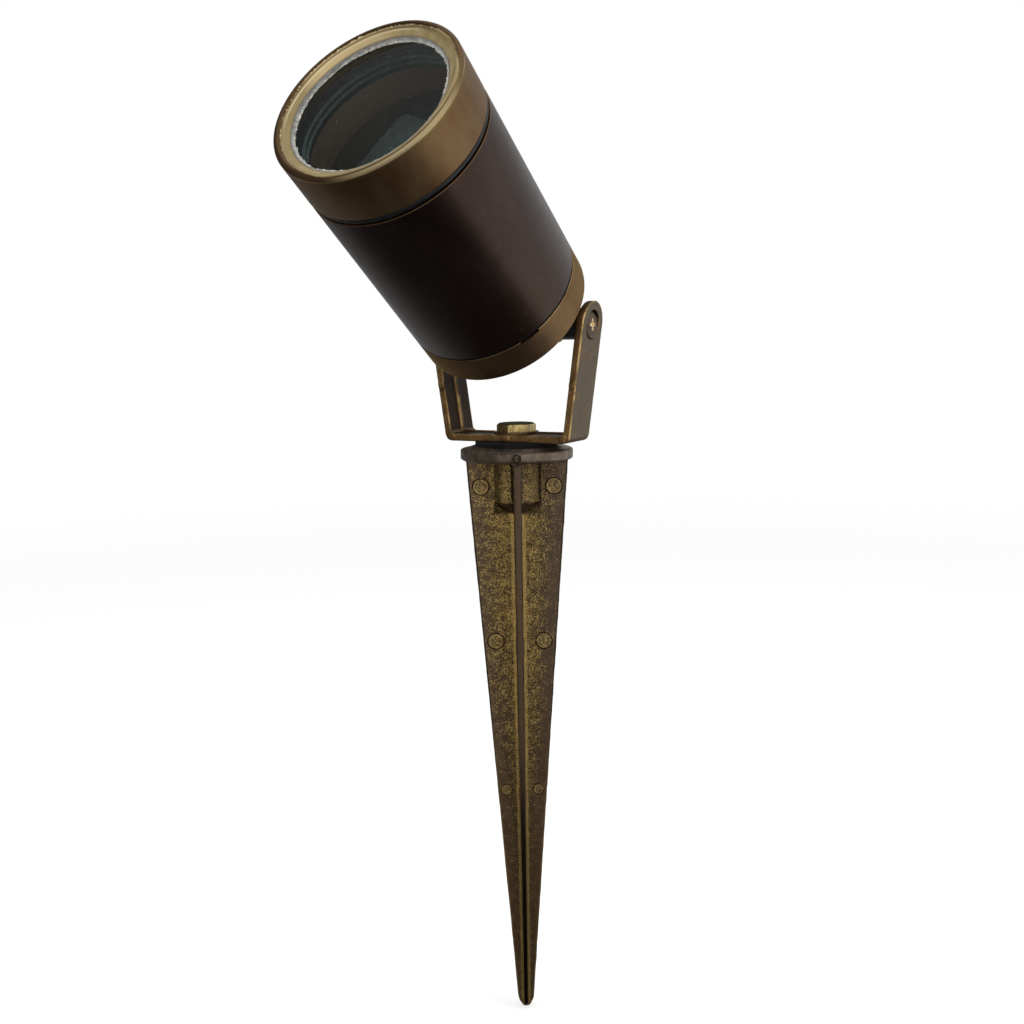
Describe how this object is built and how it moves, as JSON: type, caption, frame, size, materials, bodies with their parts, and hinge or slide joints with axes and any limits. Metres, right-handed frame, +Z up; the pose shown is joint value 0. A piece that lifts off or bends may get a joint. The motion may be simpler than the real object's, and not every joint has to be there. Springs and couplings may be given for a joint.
{
  "type": "garden spike spotlight",
  "caption": "Round metal outdoor spotlight that tilts in a U-shaped yoke on a cross-finned ground spike, with a screwed bezel and recessed round glass.",
  "frame": {"origin": "centre of the flange's underside on the spike's axis, at soil level", "axes": "+Z up along the spike's axis; +X along the head's tilt axis; the head leans towards -Y"},
  "size_m": [0.0672, 0.1319, 0.3703],
  "materials": {
    "cast_brown": "sand-cast brass with a dark brown finish, worn bright on its edges",
    "rubber_black": "matt black moulded rubber",
    "bolt_brass": "olive-brown turned brass with bright corners",
    "yoke_bronze": "brushed brass with a brown bronze finish, bright along its edges",
    "spacer_black": "black moulded plastic",
    "cap_bronze": "turned brass with a satin brown bronze finish",
    "housing_dark": "turned brass with a satin dark purplish-brown finish",
    "bezel_bronze": "turned brass with a worn brown bronze rim and a satin golden bevel",
    "clear_glass": "clear toughened glass",
    "silicone": "translucent grey-white silicone",
    "lamp_black": "black satin face of a sealed lamp unit",
    "lamp_metal": "plain die-cast aluminium",
    "pin_metal": "plain brass",
    "ceramic": "off-white lampholder and terminal block",
    "lead_sleeve": "heat-resistant sleeve on a copper lead",
    "plated_steel": "zinc-plated steel",
    "gland_black": "black nylon"
  },
  "bodies": {
    "root": {"ground_spike": "cast_brown", "base_gasket": "rubber_black", "clamp_washer": "yoke_bronze", "clamp_bolt": "bolt_brass"},
    "yoke": {"yoke": "yoke_bronze"},
    "head": {"rear_cap": "cap_bronze", "rear_seal": "rubber_black", "housing": "housing_dark", "front_seal": "rubber_black", "pivot_screws": "bolt_brass", "pivot_spacers": "spacer_black", "lamp_face": "lamp_black", "lamp_unit": "lamp_metal", "lamp_pins": "pin_metal", "lampholder": "ceramic", "leads": "lead_sleeve", "terminal_block": "ceramic", "clamp_screws": "plated_steel", "earth_screw": "pin_metal", "gland_body": "gland_black", "gland_ring": "rubber_black", "gland_insert": "rubber_black", "gland_nut": "gland_black"},
    "glass_gasket": {"glass_gasket": "rubber_black"},
    "bezel": {"bezel": "bezel_bronze", "glass": "clear_glass", "sealant": "silicone"}
  },
  "joints": [
    {"name": "yoke_pan", "type": "hinge", "parent": "root", "child": "yoke", "pos_m": [0, 0, 0.007], "axis": [0, 0, 1], "continuous": true},
    {"name": "head_tilt", "type": "hinge", "parent": "yoke", "child": "head", "pos_m": [0, 0, 0.0501], "axis": [1, 0, 0], "range_deg": [-148, 41]},
    {"name": "bezel_travel", "type": "slide", "parent": "head", "child": "glass_gasket", "axis": [0, -0.8018, 0.5976], "range_m": [0, 0.0075]},
    {"name": "bezel_turn", "type": "hinge", "parent": "glass_gasket", "child": "bezel", "pos_m": [0, 0, 0.0501], "axis": [0, -0.8018, 0.5976], "range_deg": [0, 1800]}
  ],
  "couplings": [
    {"joint": "bezel_turn", "follows": "bezel_travel", "rad_per_m": 4188.8}
  ]
}
